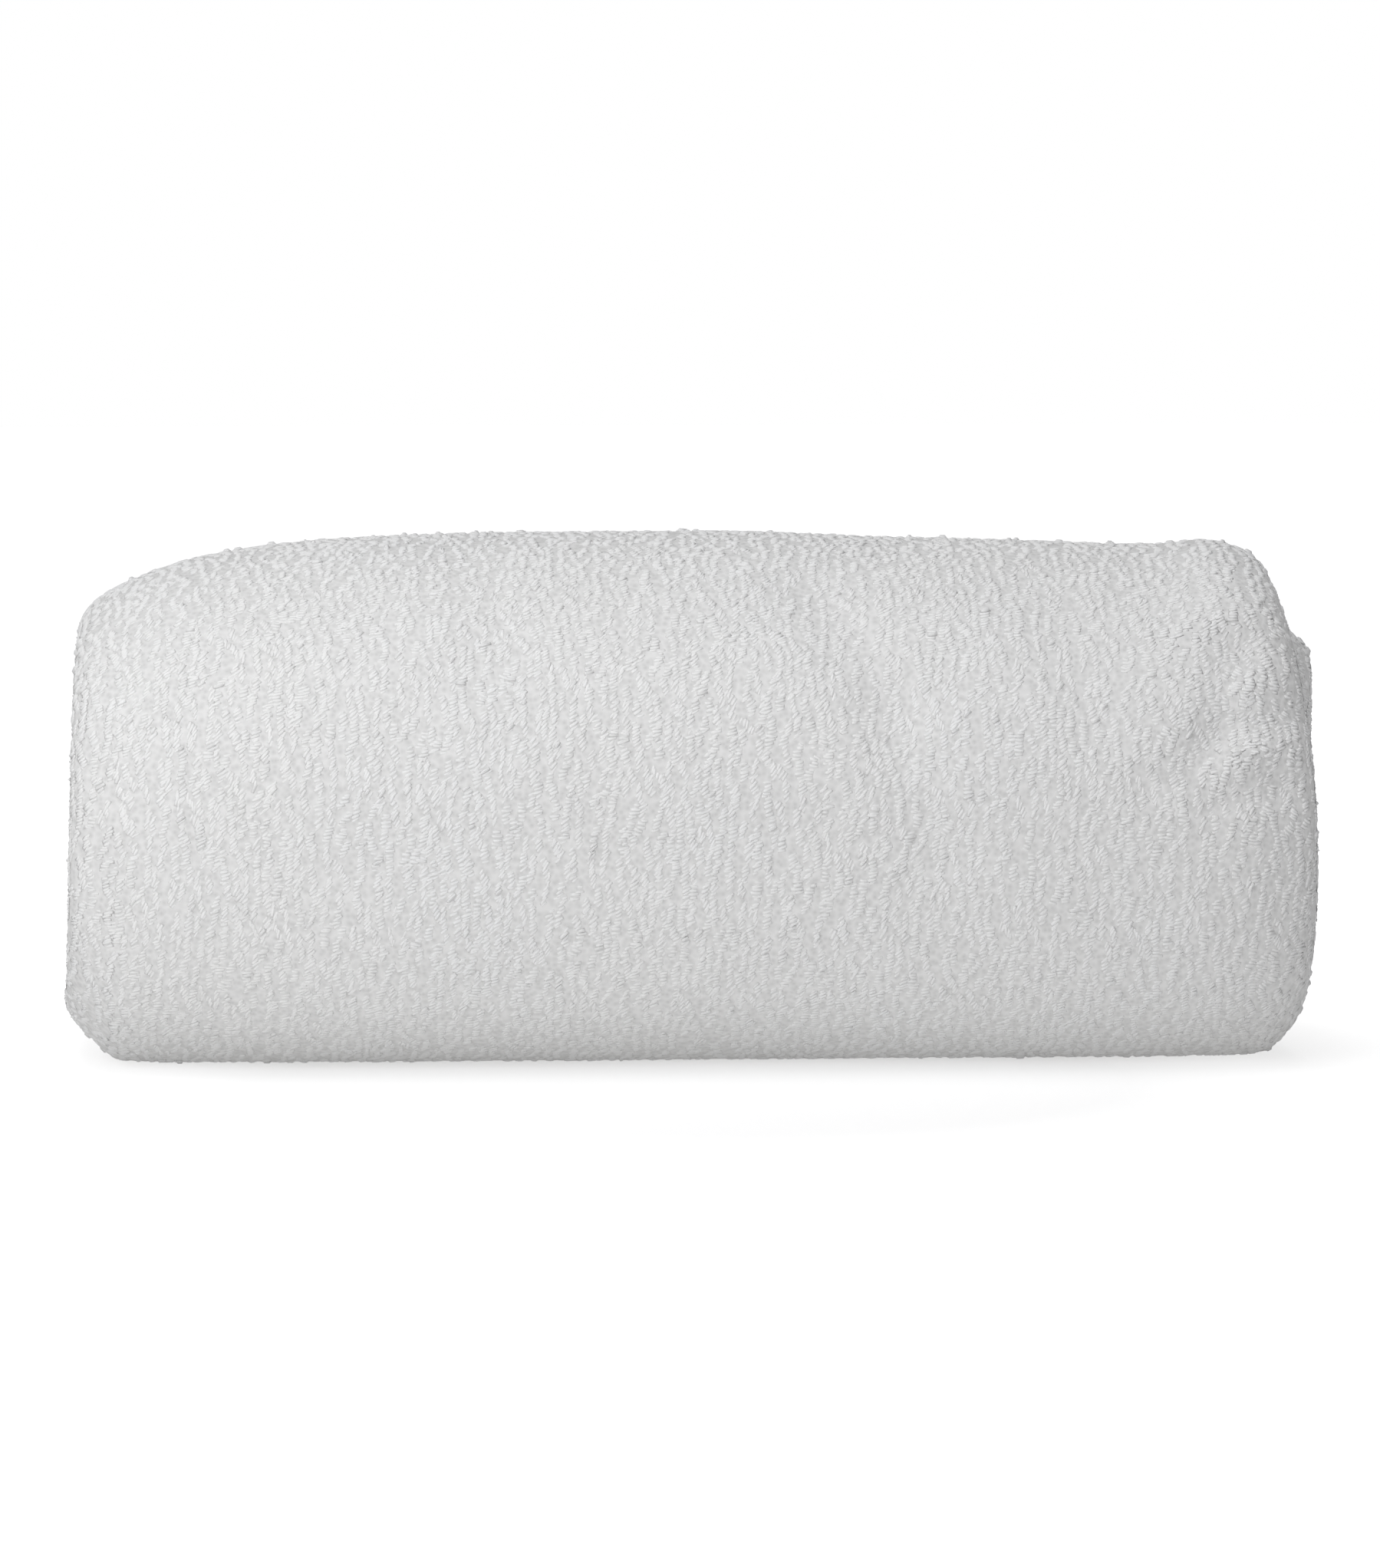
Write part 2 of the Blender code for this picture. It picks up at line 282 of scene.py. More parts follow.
# A point of the folded cloth. across runs over the outer layer from -1 to 1, round a fold from
# 1 to 2 as half an ellipse, and along the inner layer from 2 to 3, and likewise below -1.
# face is 1 on the side that shows, 0 in the middle of the cloth and -1 on the inner side.
def clothPoint(turn, across, face, floorHeight=roll["restHeight"]):
    side = np.sign(across)
    reach = np.abs(across)
    left, right = foldStarts(turn)
    fold = np.where(side < 0.0, left, right)
    upper, lower = cloth["panelDepths"]
    half = cloth["halfThickness"] * hemShare(turn) * face
    bend = (np.clip(reach, 1.0, 2.0) - 1.5) * math.pi
    bulge = (cloth["foldReach"] + cloth["foldHalfThickness"] * hemShare(turn) * face) * np.cos(bend)
    depth = (upper + lower) / 2.0 + ((lower - upper) / 2.0 + half) * np.sin(bend)
    x = fold + side * bulge
    x = np.where(reach < 1.0, between(left, right, (across + 1.0) / 2.0), x)
    x = np.where(reach > 2.0, between(fold, side * cloth["selvedgeGap"], reach - 2.0), x)
    return rollPoint(turn, x, depth, floorHeight)


# faces into the mesh: corners is every face's vertex numbers in a row, counts the corners a face
def meshPiece(name, points, corners, counts, material, pictures=(), tones=(), smooth=True):
    mesh = bpy.data.meshes.new(name)
    mesh.vertices.add(len(points))
    mesh.vertices.foreach_set("co", np.ascontiguousarray(points, np.float32).ravel())
    mesh.loops.add(len(corners))
    mesh.loops.foreach_set("vertex_index", np.ascontiguousarray(corners, np.int32))
    mesh.polygons.add(len(counts))
    starts = np.concatenate([[0], np.cumsum(counts)[:-1]])
    mesh.polygons.foreach_set("loop_start", np.ascontiguousarray(starts, np.int32))
    mesh.update(calc_edges=True)
    for mapName, places in pictures:
        layer = mesh.uv_layers.new(name=mapName)
        layer.uv.foreach_set("vector", np.ascontiguousarray(places, np.float32).ravel())
    for toneName, values in tones:
        tone = mesh.attributes.new(toneName, "FLOAT", "POINT")
        tone.data.foreach_set("value", np.ascontiguousarray(values, np.float32))
    mesh.polygons.foreach_set("use_smooth", np.broadcast_to(smooth, len(counts)).astype(bool))
    mesh.materials.append(material)
    if mesh.validate():
        print("mended faces in", name)
    piece = bpy.data.objects.new(name, mesh)
    bpy.context.scene.collection.objects.link(piece)
    return piece


# turns all faces round if their volume, the sum of corner . (corner x corner) / 6, is negative
def faceOutwards(piece):
    mesh = piece.data
    mesh.calc_loop_triangles()
    index = np.empty(len(mesh.loop_triangles) * 3, np.int32)
    mesh.loop_triangles.foreach_get("vertices", index)
    points = np.empty(len(mesh.vertices) * 3, np.float32)
    mesh.vertices.foreach_get("co", points)
    first, second, third = points.reshape(-1, 3)[index.reshape(-1, 3)].transpose(1, 0, 2)
    if (first * np.cross(second, third)).sum() / 6.0 < 0.0:
        mesh.flip_normals()
    return piece


class Value:  # one output socket; sums and products on it add Math nodes
    def __init__(self, paint, socket):
        self.paint = paint
        self.socket = socket

    def math(self, operation, *others):
        inputs = dict(enumerate((self,) + others))
        return self.paint.node("ShaderNodeMath", {"operation": operation}, inputs)

    def __add__(self, other):
        return self.math("ADD", other)

    def __radd__(self, other):
        return self.math("ADD", other)

    def __sub__(self, other):
        return self.math("SUBTRACT", other)

    def __rsub__(self, other):
        return self.paint.node("ShaderNodeMath", {"operation": "SUBTRACT"}, {0: other, 1: self})

    def __mul__(self, other):
        return self.math("MULTIPLY", other)

    def __rmul__(self, other):
        return self.math("MULTIPLY", other)

    def clipped(self):  # held between 0 and 1
        return self.math("MINIMUM", 1.0).math("MAXIMUM", 0.0)


class Paint:  # the nodes of one material, or of the world
    def __init__(self, owner):
        owner.use_nodes = True
        self.owner = owner
        self.tree = owner.node_tree

    def put(self, socket, value):
        if isinstance(value, Value):
            self.tree.links.new(value.socket, socket)
        else:
            socket.default_value = value

    def node(self, kind, settings, inputs, output=0):
        made = self.tree.nodes.new(kind)
        for name, value in settings.items():
            setattr(made, name, value)
        for name, value in inputs.items():
            self.put(made.inputs[name], value)
        return Value(self, made.outputs[output])

    def place(self):
        return self.node("ShaderNodeTexCoord", {}, {}, "Object")

    def noise(self, size, detail=2.0, rough=0.5):
        inputs = {"Vector": self.place(), "Scale": 1.0 / size, "Detail": detail, "Roughness": rough}
        return self.node("ShaderNodeTexNoise", {"noise_dimensions": "3D"}, inputs, "Fac")

    def tone(self, name):
        return self.node("ShaderNodeAttribute", {"attribute_name": name}, {}, "Fac")

    def vector(self, operation, first, second, output="Vector"):
        inputs = {0: first, 1: second}
        return self.node("ShaderNodeVectorMath", {"operation": operation}, inputs, output)

    def mixed(self, share, first, second):  # 6 and 7 are its color inputs, 2 the color output
        settings = {"data_type": "RGBA", "blend_type": "MIX"}
        return self.node("ShaderNodeMix", settings, {0: share, 6: first, 7: second}, 2)

    def bump(self, height, strength, distance):
        inputs = {"Height": height, "Strength": strength, "Distance": distance}
        return self.node("ShaderNodeBump", {}, inputs)

    def finish(self, **values):
        shader = self.tree.nodes["Principled BSDF"]
        for name, value in values.items():
            self.put(shader.inputs[name.replace("_", " ")], value)
        return self.owner


cotton = {
    "deep": (0.85, 0.85, 0.845, 1.0),      # painted shade at the foot of a loop, and the lighter part of the ground's knots
    "loop": (0.95, 0.95, 0.945, 1.0),
    "cool": (0.93, 0.94, 0.955, 1.0),      # patches that read a little bluer
    "ground": (0.67, 0.67, 0.665, 1.0),    # painted shade between the loops
    "hem": (0.86, 0.86, 0.85, 1.0),
    "thread": (0.90, 0.90, 0.89, 1.0),
    "sheen": 0.05,
    "coolSize": 0.045,                     # of the bluer patches
    "coolContrast": 2.2,
    "coolStart": 0.6,
    "coolShare": 0.5,
    "toneShare": 0.7,                      # how much a strand's own tone changes its crown
    "toneStart": 0.5,
    "fibreSize": 0.00035,
    "threadFibreSize": 0.0003,
    "fibreHeight": 0.0001,
    "fibreRoughness": 0.1,                 # from smooth to rough over the fibre
    "loopRoughness": 0.86,
    "groundRoughness": 0.95,
    "hemSmoothing": 0.1,                   # how much less rough the hem is
    "threadRoughness": 0.6,
    "warpPitch": 0.0011,                   # threads of the woven hem
    "weftPitch": 0.0009,
    "weaveHeight": 0.7,                    # share of the knots' height
    "knotSize": 0.0016,                    # of the ground between the loops
    "knotSmoothness": 0.6,
    "knotContrast": 1.3,
    "knotHeight": 0.0005,
    "loopBump": 0.15,
    "groundBump": 0.35,
    "threadBump": 0.2,
}


# the looped yarn: a painted highlight on its crowns and painted shade at its roots, with fine fibre
def loopPaint():
    paint = Paint(bpy.data.materials.new("cottonLoops"))
    broad = paint.noise(cotton["coolSize"], detail=1.0)
    fibre = paint.noise(cotton["fibreSize"], rough=0.6)
    cool = (broad * cotton["coolContrast"] - cotton["coolStart"]).clipped() * cotton["coolShare"]
    light = paint.mixed(cool, cotton["loop"], cotton["cool"])
    tone = paint.tone("loopTone") * cotton["toneShare"] + cotton["toneStart"]
    return paint.finish(
        # painted shade at the strand's foot, painted highlight on its crown
        Base_Color=paint.mixed((paint.tone("crown") * tone).clipped(), cotton["deep"], light),
        Roughness=cotton["loopRoughness"] + fibre * cotton["fibreRoughness"],
        Sheen_Weight=cotton["sheen"],
        Normal=paint.bump(fibre, cotton["loopBump"], cotton["fibreHeight"]),
    )


# the ground cloth under the loops, painted darker as the shade between them, and the hem: its weave is
# one sine along times one across
def groundPaint():
    paint = Paint(bpy.data.materials.new("terryGround"))
    weave = paint.node("ShaderNodeUVMap", {"uv_map": "weave"}, {})
    along = paint.node("ShaderNodeSeparateXYZ", {}, {"Vector": weave}, "X")
    over = paint.node("ShaderNodeSeparateXYZ", {}, {"Vector": weave}, "Y")
    weft = (along * (2.0 * math.pi / cotton["weftPitch"])).math("SINE")
    warp = (over * (2.0 * math.pi / cotton["warpPitch"])).math("SINE")
    scale, smoothness = 1.0 / cotton["knotSize"], cotton["knotSmoothness"]
    inputs = {"Vector": paint.place(), "Scale": scale, "Smoothness": smoothness}
    cells = paint.node("ShaderNodeTexVoronoi", {"feature": "SMOOTH_F1"}, inputs, "Distance")
    knots = 1.0 - cells * cotton["knotContrast"]
    hem = paint.tone("hemShare")
    woven = (weft * warp * 0.5 + 0.5) * hem * cotton["weaveHeight"]
    # painted shade of the ground between the loops, mottled by its knots
    shadedGround = paint.mixed(knots.clipped(), cotton["deep"], cotton["ground"])
    return paint.finish(
        Base_Color=paint.mixed(hem, shadedGround, cotton["hem"]),
        Roughness=cotton["groundRoughness"] - hem * cotton["hemSmoothing"],
        Sheen_Weight=cotton["sheen"],
        Normal=paint.bump(knots * (1.0 - hem) + woven, cotton["groundBump"], cotton["knotHeight"]),
    )


# lockstitch thread along the hem, a little smoother than the towel
def threadPaint():
    paint = Paint(bpy.data.materials.new("hemThread"))
    fibre = paint.noise(cotton["threadFibreSize"], detail=1.0)
    return paint.finish(
        Base_Color=cotton["thread"],
        Roughness=cotton["threadRoughness"] + fibre * cotton["fibreRoughness"],
        Normal=paint.bump(fibre, cotton["threadBump"], cotton["fibreHeight"]),
    )


# the sheet's own grid: places across it, and turns from the loose end inwards
def clothGrid():
    hidden = np.linspace(2.0, 3.0, cloth["hiddenSteps"] + 1)[1:]
    rounded = np.linspace(1.0, 2.0, cloth["foldSteps"] + 1)[1:]
    panel = np.linspace(-1.0, 1.0, cloth["panelSteps"] + 1)
    across = np.concatenate([-hidden[::-1], -rounded[::-1], panel, rounded, hidden])
    hemReach = cloth["hemWidth"] + cloth["hemRise"]
    firstHem = np.interp(hemReach, lengthTable, turnTable)
    lastHem = np.interp(lengthTable[-1] - hemReach, lengthTable, turnTable)
    insidePoints = round((lastHem - cloth["firstTurnEnd"]) * cloth["turnPoints"])
    turns = np.concatenate([
        np.linspace(0.0, firstHem, cloth["hemPoints"])[:-1],
        np.linspace(firstHem, cloth["firstTurnEnd"], cloth["firstTurnPoints"])[:-1],
        np.linspace(cloth["firstTurnEnd"], lastHem, insidePoints)[:-1],
        np.linspace(lastHem, roll["turns"], cloth["lastHemPoints"]),
    ])
    return across, turns


gridAcross, gridTurns = clothGrid()
facePoints = clothPoint(gridTurns[:, None], gridAcross[None, :], 1.0)[0]


# number of the grid line before each value, and the share of the way to the next line
def gridPlace(lines, value):
    index = np.clip(np.searchsorted(lines, value, side="right") - 1, 0, len(lines) - 2)
    return index, ((value - lines[index]) / (lines[index + 1] - lines[index]))[..., None]


# the point of the sheet's own faces at a place: its four grid points mixed by both shares
def facePoint(turn, across):
    row, down = gridPlace(gridTurns, turn)
    column, over = gridPlace(gridAcross, across)
    first = between(facePoints[row, column], facePoints[row, column + 1], over)
    second = between(facePoints[row + 1, column], facePoints[row + 1, column + 1], over)
    return between(first, second, down)


# the four corners of each face of a grid, in order round it
def gridFaces(grid):
    return np.stack([grid[:-1, :-1], grid[1:, :-1], grid[1:, 1:], grid[:-1, 1:]], axis=2)


# rings of the cloth's cross-section, one for each turn value: the side that shows from the left
# selvedge to the right one, then the inner side back, and at both ends the middle of the cloth
def clothRings(noses):
    many = len(gridAcross)
    nose = [cloth["selvedgeNose"]]
    ringAcross = np.concatenate([gridAcross, nose, gridAcross[::-1], np.negative(nose)])
    ringFace = np.concatenate([np.ones(many), [0.0], -np.ones(many), [0.0]])
    body = clothPoint(gridTurns[:, None], ringAcross[None, :], ringFace[None, :])[0]
    edges = clothPoint(noses[:, None], gridAcross[None, :], 0.0)[0]
    return body, edges


# the towel laid flat: metres along it for each row, and round the middle ring for each column
def clothFlat(noses, body):
    metres = np.interp(np.concatenate([noses[:1], gridTurns, noses[1:]]), turnTable, lengthTable)
    metres[0], metres[-1] = -cloth["noseLength"], lengthTable[-1] + cloth["noseLength"]
    middleRing = body[len(gridTurns) // 2]
    steps = np.linalg.norm(np.diff(middleRing, axis=0, append=middleRing[:1]), axis=1)
    girth = np.concatenate([[0.0], np.cumsum(steps)])
    return np.stack(np.broadcast_arrays(metres[:, None], girth[None, :]), axis=-1)


# one closed sheet: the rings joined in order, and closed at both hems by a row in their middle
def makeCloth():
    noses = np.array((-cloth["noseTurns"], roll["turns"] + cloth["noseTurns"]))
    body, edges = clothRings(noses)
    many, ring = len(gridAcross), body.shape[1]
    numbers = np.arange(len(body) * ring).reshape(len(body), ring)
    noseColumns = np.concatenate([np.arange(many), [many - 1], np.arange(many)[::-1], [0]])
    firstNose = len(body) * ring + noseColumns
    numbers = np.vstack([firstNose, numbers, firstNose + many])
    numbers = np.hstack([numbers, numbers[:, :1]])
    faces = gridFaces(numbers).reshape(-1, 4)
    flatFaces = gridFaces(clothFlat(noses, body)).reshape(-1, 4, 2)
    same = faces == np.roll(faces, -1, axis=1)
    whole = ~same.any(axis=1)
    thin = same.sum(axis=1) == 1
    keep = ~same[thin]                 # leave out one of two equal corners
    corners = np.concatenate([faces[whole].ravel(), faces[thin][keep]])
    flat = np.concatenate([flatFaces[whole].reshape(-1, 2), flatFaces[thin][keep]])
    counts = np.concatenate([np.full(whole.sum(), 4), np.full(thin.sum(), 3)])
    low = flat.min(axis=0)
    margin = cloth["pictureMargin"]
    picture = margin + (1.0 - 2.0 * margin) * (flat - low) / (flat.max(axis=0) - low)
    hem = (1.0 - hemShare(gridTurns)) / (1.0 - cloth["hemThinness"])
    hem = np.concatenate([np.repeat(hem, ring), np.ones(2 * many)])
    points = np.concatenate([body.reshape(-1, 3), edges.reshape(-1, 3)])
    return faceOutwards(meshPiece(
        "towel_cloth", points, corners, counts, groundPaint(),
        pictures=(("OFBake", picture), ("weave", flat)), tones=(("hemShare", hem),),
    ))


# Every tuft of the pile is a loop of yarn whose plies show as short slanted strands.
pile = {
    "seed": 4880,
    "rowPitch": 0.0044,            # tuft to tuft along the towel
    "columnPitch": 0.0034,         # and across it
    "columnReach": 0.21,           # how far from the middle the columns go
    "strands": 5,                  # plies that show on a tuft
    "strandPitch": 0.00100,
    "strandLength": 0.0030,
    "strandWidth": 0.00108,        # at its foot
    "crown": 0.00034,              # height of a strand's ridge above the cloth
    "foot": -0.0001,               # and of its foot
    "endDrop": 0.75,               # how much lower the two ends of a tuft are
    "endShortening": 0.35,         # how much shorter
    "endShade": 0.6,                # and how much darker, as painted shade
    "tone": 0.66,
    "lean": 34.0,                  # degrees that a strand rises to the right
    "rightEndLean": 10.0,          # and how much less near the right end
    "rightEndStart": 0.115,
    "rightEndSpan": 0.04,
    "outerTurns": 1.03,            # the turn that shows
    "outerUnder": 0.007,           # its pile past a fold, on the inner layer
    "rimOver": 0.0035,             # the other turns' pile before a fold, on the outer layer
    "rimUnder": 0.0040,            # and past it, on the inner layer
    "foldArc": 0.0150,             # way round a fold from layer to layer
    "hemOverlap": 0.3,             # share of the hem's rise that the first loops stand on
    "patchDepth": -0.0010,         # tufts pressed deeper than this under the floor are left out
    "patchFoldShare": 0.4,         # but not past this share of a fold's arc
    "stray": 0.035,                # share of strands that stand proud
    "strayRise": (0.6, 2.0),       # by how many crowns
    "slow": {                      # wavelength, seed and size of each slow change over the pile
        "wander": (0.040, 15, 0.0015),
        "sway": (0.018, 13, 12.0),
        "height": (0.010, 14, 0.10),
        "tone": (0.012, 16, 0.14),
        "lean": (0.030, 11, 9.0),
        "fineLean": (0.010, 12, 7.0),
    },
    "spread": {                    # of each chance difference, from tuft to tuft
        "along": 0.16,             # in pitches
        "across": 0.23,
        "sway": 9.0,
        "height": 0.11,
        "tone": 0.14,
        "lean": 7.0,
        "strandSlide": 0.00012,    # and from strand to strand
        "strandShift": 0.00022,
        "strandLean": 8.0,
        "strandTop": 0.10,
        "strandLength": 0.15,
        "strandWidth": 0.10,
        "strandTone": 0.16,
    },
    "turnStep": 0.0004,            # small steps on the cloth, for its directions
    "acrossStep": 0.01,
}


# sines in several directions, each of about one wavelength, added up to run from about -1 to 1
def softNoise(u, v, wavelength, seed):
    random = np.random.default_rng(seed)
    total = 0.0
    waves = 9
    for angle, size, phase in zip(
        random.uniform(0.0, 2.0 * math.pi, waves),
        random.uniform(0.7, 1.5, waves),
        random.uniform(0.0, 2.0 * math.pi, waves),
    ):
        step = 2.0 * math.pi / (wavelength * size)
        total = total + np.sin(step * (u * math.cos(angle) + v * math.sin(angle)) + phase)
    return total / math.sqrt(waves)


# a slow change over the pile: its soft noise times its size
def slow(name, metres, reach):
    wavelength, seed, size = pile["slow"][name]
    return softNoise(metres, reach, wavelength, seed) * size


# chance differences round 0, with the table's spread
def chance(random, name, shape):
    return random.normal(0.0, pile["spread"][name], shape)


# each vector divided by its length
def unit(vectors):
    return vectors / np.linalg.norm(vectors, axis=-1, keepdims=True)


# turn and place across for metres along the towel and from its middle, then the share of the
# fold's arc that lies behind the spot, and the metres past the fold
def placeOf(metres, reach):
    turn = np.interp(metres, lengthTable, turnTable)
    left, right = foldStarts(turn)
    half = (right - left) / 2.0
    past = (np.abs(reach) - half) / pile["foldArc"]
    beyond = np.abs(reach) - half - pile["foldArc"]
    across = np.where(past < 0.0, np.abs(reach) / half, 1.0 + past)
    across = np.where(past > 1.0, 2.0 + beyond / (half - cloth["selvedgeGap"]), across)
    return turn, across * np.sign(reach), past, beyond


# places of the tufts: columns along the towel, each with its own start, a little jittered;
# only those that show are kept, on the outer turn and on the folds at both ends
def tuftPlaces(random):
    rows = np.arange(int(lengthTable[-1] / pile["rowPitch"]))
    halfColumns = int(pile["columnReach"] / pile["columnPitch"])
    columns = np.arange(-halfColumns, halfColumns + 1)
    start = random.uniform(0.0, 1.0, len(columns))
    metres = (rows[:, None] + start[None, :]) * pile["rowPitch"]
    metres = metres + chance(random, "along", metres.shape) * pile["rowPitch"]
    reach = columns[None, :] * pile["columnPitch"]
    reach = reach + chance(random, "across", metres.shape) * pile["columnPitch"]
    metres, reach = metres.ravel(), reach.ravel()
    reach = reach + slow("wander", metres, reach)
    turn, across, past, beyond = placeOf(metres, reach)
    hemEdge = cloth["hemWidth"] + pile["hemOverlap"] * cloth["hemRise"]
    inPile = (metres > hemEdge) & (metres < lengthTable[-1] - hemEdge)
    outer = (turn < pile["outerTurns"]) & (beyond < pile["outerUnder"])
    rim = (past > -pile["rimOver"] / pile["foldArc"]) & (beyond < pile["rimUnder"])
    lowest = clothPoint(turn, across, 1.0)[1]
    free = (lowest > pile["patchDepth"]) | (past > pile["patchFoldShare"])
    shown = inPile & (outer | rim) & free
    return turn[shown], across[shown], metres[shown], reach[shown]


# a strand is a small pillow: the four corners of its foot and the two ends of its ridge
pillowAlong = np.array((-1.0, -1.0, 1.0, 1.0, -0.5, 0.5))
pillowBeside = np.array((-1.0, 1.0, 1.0, -1.0, 0.0, 0.0))
pillowRise = np.array((0.0, 0.0, 0.0, 0.0, 1.0, 1.0))
pillowFaces = ((0, 3, 5, 4), (2, 1, 4, 5), (1, 0, 4), (3, 2, 5), (0, 1, 2, 3))


# each corner's place in the pillow's own square of the picture: its top in the left half, its
# foot in the right half, both seen from above
def pillowPicture():
    halfWidth, halfHeight = 0.22, 0.46           # leave a margin round each half
    upper = np.concatenate(pillowFaces[:-1])
    lower = np.array(pillowFaces[-1])
    halves = []
    for middle, corners in ((0.25, upper), (0.75, lower)):
        u = middle + halfWidth * pillowBeside[corners]
        v = 0.5 + halfHeight * pillowAlong[corners]
        halves.append(np.stack([u, v], axis=-1))
    return np.concatenate(halves)


# the tufts: a row of strands each, every strand across it at a slant like the ply of a rope
def makePile(material):
    random = np.random.default_rng(pile["seed"])
    turn, across, metres, reach = tuftPlaces(random)
    tufts = len(turn)
    sway = np.radians(slow("sway", metres, reach) + chance(random, "sway", tufts))
    tuftHeight = 1.0 + slow("height", metres, reach) + chance(random, "height", tufts)
    base, axis, flank, outward = tuftFrame(turn, across, sway)
    strands = strandShape(base, axis, flank, outward, sway, tuftHeight, metres, reach, random)
    tone = pile["tone"] + slow("tone", metres, reach) + chance(random, "tone", tufts)
    # the two ends of each tuft are painted darker, as shade where they dip to the cloth
    outer = np.abs(2.0 * np.arange(pile["strands"]) / (pile["strands"] - 1) - 1.0)
    tone = tone[:, None] * (1.0 - pile["endShade"] * outer ** 2)
    tone = np.clip(tone + chance(random, "strandTone", strands.shape[:2]), 0.0, 1.0)
    angle = np.arctan2(base[:, 2] - roll["middleHeight"], base[:, 1])
    quarter = np.floor(np.mod(np.degrees(angle) + 45.0, 360.0) / 90.0).astype(int)
    sides = ("pile_back", "pile_top", "pile_front", "pile_under")
    ends = ("pile_left_end", "pile_right_end")
    onEnd = (np.abs(across) > 1.0) | (turn > pile["outerTurns"])
    group = np.where(onEnd, len(sides) + (across >= 0.0), quarter)
    return [
        pilePiece(name, material, strands[group == number], tone[group == number])
        for number, name in enumerate(sides + ends)
    ]


# a tuft's own directions, by small steps on the cloth: along it, across it and out of the cloth
def tuftFrame(turn, across, sway):
    turnStep, acrossStep = pile["turnStep"], pile["acrossStep"]
    spots = ((0, 0), (turnStep, 0), (-turnStep, 0), (0, acrossStep), (0, -acrossStep))
    base, after, before, right, left = (
        clothPoint(turn + more, across + aside, 1.0, roll["noFloor"])[0] for more, aside in spots
    )
    beside = unit(right - left)
    outward = unit(np.cross(unit(after - before), beside))
    ahead = np.cross(beside, outward)
    cosine, sine = np.cos(sway)[:, None], np.sin(sway)[:, None]
    return base, ahead * cosine + beside * sine, beside * cosine - ahead * sine, outward


# center + along it + beside it + out of the cloth, for each point of each pillow, over the floor
def pillowPoints(center, along, beside, outward, halfLength, halfWidth, foot, top):
    lengthways = halfLength[..., None] * pillowAlong
    sideways = halfWidth[..., None] * pillowBeside
    rise = foot + (top[..., None] - foot) * pillowRise
    points = center[..., None, :] + along[..., None, :] * lengthways[..., None]
    points = points + beside[..., None, :] * sideways[..., None]
    points = points + outward[..., None, :] * rise[..., None]
    points[..., 2] = np.maximum(points[..., 2], 0.0)
    return points


# a row of strands for each tuft, each a pillow with its foot in the cloth
def strandShape(base, axis, flank, outward, sway, tuftHeight, metres, reach, random):
    tufts, many = len(base), pile["strands"]
    shape = (tufts, many)
    spot = (np.arange(many) - (many - 1) / 2.0) * pile["strandPitch"]
    slide = spot + chance(random, "strandSlide", shape)
    shift = chance(random, "strandShift", shape)
    rightEnd = ease((base[:, 0] - pile["rightEndStart"]) / pile["rightEndSpan"])
    lean = pile["lean"] - pile["rightEndLean"] * rightEnd + slow("lean", metres, reach)
    lean = lean + slow("fineLean", metres, reach) * (1.0 + rightEnd) + chance(random, "lean", tufts)
    lean = np.radians(lean[:, None] + chance(random, "strandLean", shape))
    outer = 2.0 * np.abs(slide) / (many * pile["strandPitch"])
    stray = random.uniform(0.0, 1.0, shape) < pile["stray"]
    proud = stray * random.uniform(*pile["strayRise"], shape)
    arch = 1.0 - pile["endDrop"] * outer ** 2
    top = tuftHeight[:, None] * arch + proud + chance(random, "strandTop", shape)
    length = pile["strandLength"] * (1.0 + chance(random, "strandLength", shape))
    length = length * (1.0 - pile["endShortening"] * outer ** 2)
    width = pile["strandWidth"] * (1.0 + chance(random, "strandWidth", shape))
    axis, flank = axis[:, None, :], flank[:, None, :]
    line = flank * np.cos(lean)[..., None] - axis * np.sin(lean)[..., None]
    wall = axis * np.cos(lean)[..., None] + flank * np.sin(lean)[..., None]
    cosine, sine = np.cos(sway)[:, None], np.sin(sway)[:, None]
    strandMetres = metres[:, None] + slide * cosine - shift * sine
    strandReach = reach[:, None] + slide * sine + shift * cosine
    center = facePoint(*placeOf(strandMetres, strandReach)[:2])
    return pillowPoints(
        center, line, -wall, outward[:, None, :],
        length / 2.0, width / 2.0, pile["foot"], pile["crown"] * top,
    )


# one mesh of pillows, each with its own square of the picture; their feet are flat faces, so
# that the light runs on smoothly over their rims
def pilePiece(name, material, pillows, tone):
    several = pillows.shape[0] * pillows.shape[1]
    many = pillows.shape[2]
    side = math.ceil(math.sqrt(several))
    cell = np.stack([np.arange(several) % side, np.arange(several) // side], axis=-1)[:, None, :]
    corners = np.arange(several)[:, None] * many + np.concatenate(pillowFaces)
    counts = np.tile([len(face) for face in pillowFaces], several)
    smooth = np.tile(np.arange(len(pillowFaces)) < len(pillowFaces) - 1, several)
    picture = ((cell + pillowPicture()) / side).reshape(-1, 2)
    # crown runs from 0 at a strand's foot to 1 on its ridge; the loop material paints shade at the
    # foot and a highlight on the ridge by it
    tones = (("crown", np.tile(pillowRise, several)), ("loopTone", np.repeat(tone.ravel(), many)))
    return faceOutwards(meshPiece(
        name, pillows.reshape(-1, 3), corners.ravel(), counts, material,
        pictures=(("OFBake", picture),), tones=tones, smooth=smooth,
    ))


stitches = {
    "inset": 0.0108,               # from the towel's edge
    "pitch": 0.0030,
    "length": 0.0023,
    "width": 0.0007,
    "rise": 0.0005,
    "span": 0.330,                 # the row's length
}


